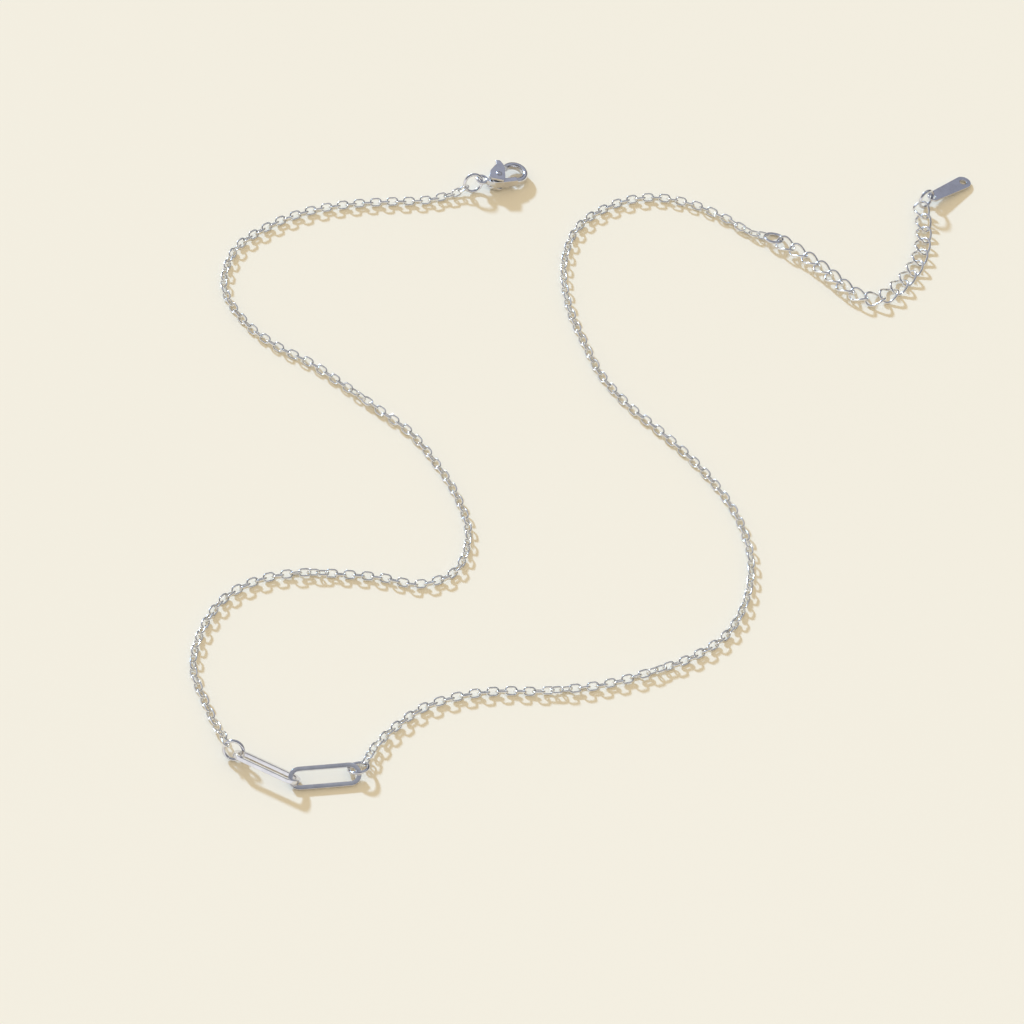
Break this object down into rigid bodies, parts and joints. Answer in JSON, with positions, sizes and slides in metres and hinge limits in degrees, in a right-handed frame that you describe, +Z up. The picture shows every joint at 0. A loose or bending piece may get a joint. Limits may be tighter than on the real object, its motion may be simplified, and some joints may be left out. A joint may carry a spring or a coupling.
{
  "type": "paperclip chain necklace",
  "caption": "Fine cable chain necklace with two long flat-wire links at the front, a sprung lobster clasp and a twisted-link extender that ends in a small pierced tag.",
  "frame": {"origin": "centre of the necklace's bounding box, on the surface it lies on", "axes": "+Z up from the surface; -Y towards the two long links, which hang at the front of the neck; +X towards the extender's end"},
  "size_m": [0.13, 0.1546, 0.0038],
  "materials": {
    "fine_chain": "polished steel wire",
    "flat_links": "polished flat steel wire",
    "rings": "polished steel wire",
    "extender": "polished steel wire",
    "tag": "polished flat steel",
    "clasp": "polished cast steel"
  },
  "bodies": {
    "necklace": {"left_chain": "fine_chain", "right_chain": "fine_chain", "paperclip_link_1": "flat_links", "paperclip_link_2": "flat_links", "ring_left": "rings", "ring_right": "rings", "ring_clasp": "rings", "ring_connector": "rings", "extender_chain": "extender", "ring_tag": "rings", "tag": "tag", "clasp_body": "clasp", "clasp_pin": "clasp"},
    "clasp_lever": {"clasp_lever": "clasp"}
  },
  "joints": [
    {"name": "lever_hinge", "type": "hinge", "parent": "necklace", "child": "clasp_lever", "pos_m": [-0.01971, 0.06044, 0.0017], "axis": [0.1152, 0.0397, 0.9925], "range_deg": [0, 28], "stiffness_Nm_per_rad": 0.002, "springref_deg": -17.19}
  ]
}
